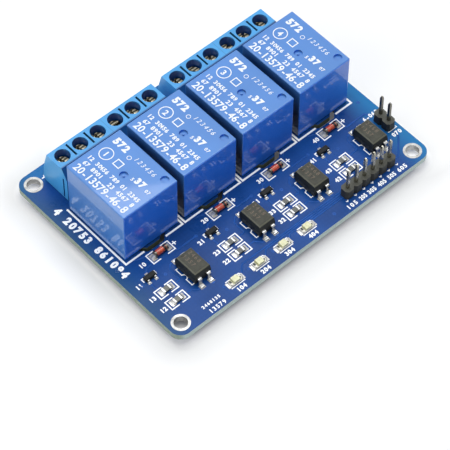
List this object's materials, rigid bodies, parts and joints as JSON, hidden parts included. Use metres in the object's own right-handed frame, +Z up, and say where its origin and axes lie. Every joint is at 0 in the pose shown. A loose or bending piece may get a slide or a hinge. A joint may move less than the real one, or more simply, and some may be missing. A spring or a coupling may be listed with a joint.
{
  "type": "four-channel relay module board",
  "caption": "Blue circuit board with a row of sealed cube relays, screw terminals behind them, and their drive circuit and pin headers in front.",
  "frame": {"origin": "centre of the four mounting holes, on the underside of the circuit board", "axes": "+X along the row of relays, with the pin headers near its end; +Y towards the screw terminals; +Z up, out of the face that carries the parts"},
  "size_m": [0.075, 0.055, 0.0183],
  "materials": {
    "blue_solder_mask": "glossy solder mask over glass-fibre board",
    "tinned_copper": "bright tin",
    "relay_blue_plastic": "glossy moulded plastic",
    "terminal_blue_plastic": "satin moulded plastic",
    "black_plastic": "matt moulded plastic",
    "tinned_leads": "tinned copper alloy",
    "screw_plating": "yellow passivated steel",
    "clamp_plating": "nickel-plated steel",
    "moulded_epoxy": "matt moulded epoxy",
    "diode_glass": "orange-red glass, sealed",
    "resistor_film": "glazed film",
    "lamp_base": "white laminate",
    "lamp_lens": "pale yellow resin",
    "gold_plating": "pale gold plating"
  },
  "bodies": {
    "board": {"circuit_board": "blue_solder_mask", "mounting_hole_plating": "tinned_copper", "solder_pads": "tinned_copper", "solder_joints": "tinned_copper", "relay_1_case": "relay_blue_plastic", "relay_2_case": "relay_blue_plastic", "relay_3_case": "relay_blue_plastic", "relay_4_case": "relay_blue_plastic", "relay_1_base": "black_plastic", "relay_2_base": "black_plastic", "relay_3_base": "black_plastic", "relay_4_base": "black_plastic", "relay_pins": "tinned_leads", "terminal_block_1": "terminal_blue_plastic", "terminal_block_2": "terminal_blue_plastic", "terminal_block_3": "terminal_blue_plastic", "terminal_block_4": "terminal_blue_plastic", "terminal_contacts": "tinned_leads", "optocoupler_1": "moulded_epoxy", "optocoupler_2": "moulded_epoxy", "optocoupler_3": "moulded_epoxy", "optocoupler_4": "moulded_epoxy", "optocoupler_leads": "tinned_leads", "transistor_bodies": "moulded_epoxy", "transistor_leads": "tinned_leads", "diode_glass": "diode_glass", "diode_caps": "tinned_leads", "resistor_bodies": "resistor_film", "resistor_ends": "tinned_copper", "led_bases": "lamp_base", "led_lenses": "lamp_lens", "signal_header_strip": "black_plastic", "signal_header_pins": "gold_plating", "power_header_strip": "black_plastic", "power_header_pins": "gold_plating"},
    "screw_1": {"terminal_screw_1": "screw_plating"},
    "clamp_1": {"wire_clamp_1": "clamp_plating"},
    "screw_2": {"terminal_screw_2": "screw_plating"},
    "clamp_2": {"wire_clamp_2": "clamp_plating"},
    "screw_3": {"terminal_screw_3": "screw_plating"},
    "clamp_3": {"wire_clamp_3": "clamp_plating"},
    "screw_4": {"terminal_screw_4": "screw_plating"},
    "clamp_4": {"wire_clamp_4": "clamp_plating"},
    "screw_5": {"terminal_screw_5": "screw_plating"},
    "clamp_5": {"wire_clamp_5": "clamp_plating"},
    "screw_6": {"terminal_screw_6": "screw_plating"},
    "clamp_6": {"wire_clamp_6": "clamp_plating"},
    "screw_7": {"terminal_screw_7": "screw_plating"},
    "clamp_7": {"wire_clamp_7": "clamp_plating"},
    "screw_8": {"terminal_screw_8": "screw_plating"},
    "clamp_8": {"wire_clamp_8": "clamp_plating"},
    "screw_9": {"terminal_screw_9": "screw_plating"},
    "clamp_9": {"wire_clamp_9": "clamp_plating"},
    "screw_10": {"terminal_screw_10": "screw_plating"},
    "clamp_10": {"wire_clamp_10": "clamp_plating"},
    "screw_11": {"terminal_screw_11": "screw_plating"},
    "clamp_11": {"wire_clamp_11": "clamp_plating"},
    "screw_12": {"terminal_screw_12": "screw_plating"},
    "clamp_12": {"wire_clamp_12": "clamp_plating"}
  },
  "joints": [
    {"name": "screw_1_turn", "type": "hinge", "parent": "board", "child": "screw_1", "pos_m": [-0.02905, 0.02015, 0.0089], "axis": [0, 0, -1], "range_deg": [0, 1350]},
    {"name": "clamp_1_rise", "type": "slide", "parent": "board", "child": "clamp_1", "axis": [0, 0, 1], "range_m": [0, 0.00169]},
    {"name": "screw_2_turn", "type": "hinge", "parent": "board", "child": "screw_2", "pos_m": [-0.02405, 0.02015, 0.0089], "axis": [0, 0, -1], "range_deg": [0, 1350]},
    {"name": "clamp_2_rise", "type": "slide", "parent": "board", "child": "clamp_2", "axis": [0, 0, 1], "range_m": [0, 0.00169]},
    {"name": "screw_3_turn", "type": "hinge", "parent": "board", "child": "screw_3", "pos_m": [-0.01905, 0.02015, 0.0089], "axis": [0, 0, -1], "range_deg": [0, 1350]},
    {"name": "clamp_3_rise", "type": "slide", "parent": "board", "child": "clamp_3", "axis": [0, 0, 1], "range_m": [0, 0.00169]},
    {"name": "screw_4_turn", "type": "hinge", "parent": "board", "child": "screw_4", "pos_m": [-0.01405, 0.02015, 0.0089], "axis": [0, 0, -1], "range_deg": [0, 1350]},
    {"name": "clamp_4_rise", "type": "slide", "parent": "board", "child": "clamp_4", "axis": [0, 0, 1], "range_m": [0, 0.00169]},
    {"name": "screw_5_turn", "type": "hinge", "parent": "board", "child": "screw_5", "pos_m": [-0.00905, 0.02015, 0.0089], "axis": [0, 0, -1], "range_deg": [0, 1350]},
    {"name": "clamp_5_rise", "type": "slide", "parent": "board", "child": "clamp_5", "axis": [0, 0, 1], "range_m": [0, 0.00169]},
    {"name": "screw_6_turn", "type": "hinge", "parent": "board", "child": "screw_6", "pos_m": [-0.00405, 0.02015, 0.0089], "axis": [0, 0, -1], "range_deg": [0, 1350]},
    {"name": "clamp_6_rise", "type": "slide", "parent": "board", "child": "clamp_6", "axis": [0, 0, 1], "range_m": [0, 0.00169]},
    {"name": "screw_7_turn", "type": "hinge", "parent": "board", "child": "screw_7", "pos_m": [0.00405, 0.02015, 0.0089], "axis": [0, 0, -1], "range_deg": [0, 1350]},
    {"name": "clamp_7_rise", "type": "slide", "parent": "board", "child": "clamp_7", "axis": [0, 0, 1], "range_m": [0, 0.00169]},
    {"name": "screw_8_turn", "type": "hinge", "parent": "board", "child": "screw_8", "pos_m": [0.00905, 0.02015, 0.0089], "axis": [0, 0, -1], "range_deg": [0, 1350]},
    {"name": "clamp_8_rise", "type": "slide", "parent": "board", "child": "clamp_8", "axis": [0, 0, 1], "range_m": [0, 0.00169]},
    {"name": "screw_9_turn", "type": "hinge", "parent": "board", "child": "screw_9", "pos_m": [0.01405, 0.02015, 0.0089], "axis": [0, 0, -1], "range_deg": [0, 1350]},
    {"name": "clamp_9_rise", "type": "slide", "parent": "board", "child": "clamp_9", "axis": [0, 0, 1], "range_m": [0, 0.00169]},
    {"name": "screw_10_turn", "type": "hinge", "parent": "board", "child": "screw_10", "pos_m": [0.01905, 0.02015, 0.0089], "axis": [0, 0, -1], "range_deg": [0, 1350]},
    {"name": "clamp_10_rise", "type": "slide", "parent": "board", "child": "clamp_10", "axis": [0, 0, 1], "range_m": [0, 0.00169]},
    {"name": "screw_11_turn", "type": "hinge", "parent": "board", "child": "screw_11", "pos_m": [0.02405, 0.02015, 0.0089], "axis": [0, 0, -1], "range_deg": [0, 1350]},
    {"name": "clamp_11_rise", "type": "slide", "parent": "board", "child": "clamp_11", "axis": [0, 0, 1], "range_m": [0, 0.00169]},
    {"name": "screw_12_turn", "type": "hinge", "parent": "board", "child": "screw_12", "pos_m": [0.02905, 0.02015, 0.0089], "axis": [0, 0, -1], "range_deg": [0, 1350]},
    {"name": "clamp_12_rise", "type": "slide", "parent": "board", "child": "clamp_12", "axis": [0, 0, 1], "range_m": [0, 0.00169]}
  ],
  "couplings": [
    {"joint": "screw_1_turn", "follows": "clamp_1_rise", "rad_per_m": 13963},
    {"joint": "screw_2_turn", "follows": "clamp_2_rise", "rad_per_m": 13963},
    {"joint": "screw_3_turn", "follows": "clamp_3_rise", "rad_per_m": 13963},
    {"joint": "screw_4_turn", "follows": "clamp_4_rise", "rad_per_m": 13963},
    {"joint": "screw_5_turn", "follows": "clamp_5_rise", "rad_per_m": 13963},
    {"joint": "screw_6_turn", "follows": "clamp_6_rise", "rad_per_m": 13963},
    {"joint": "screw_7_turn", "follows": "clamp_7_rise", "rad_per_m": 13963},
    {"joint": "screw_8_turn", "follows": "clamp_8_rise", "rad_per_m": 13963},
    {"joint": "screw_9_turn", "follows": "clamp_9_rise", "rad_per_m": 13963},
    {"joint": "screw_10_turn", "follows": "clamp_10_rise", "rad_per_m": 13963},
    {"joint": "screw_11_turn", "follows": "clamp_11_rise", "rad_per_m": 13963},
    {"joint": "screw_12_turn", "follows": "clamp_12_rise", "rad_per_m": 13963}
  ]
}
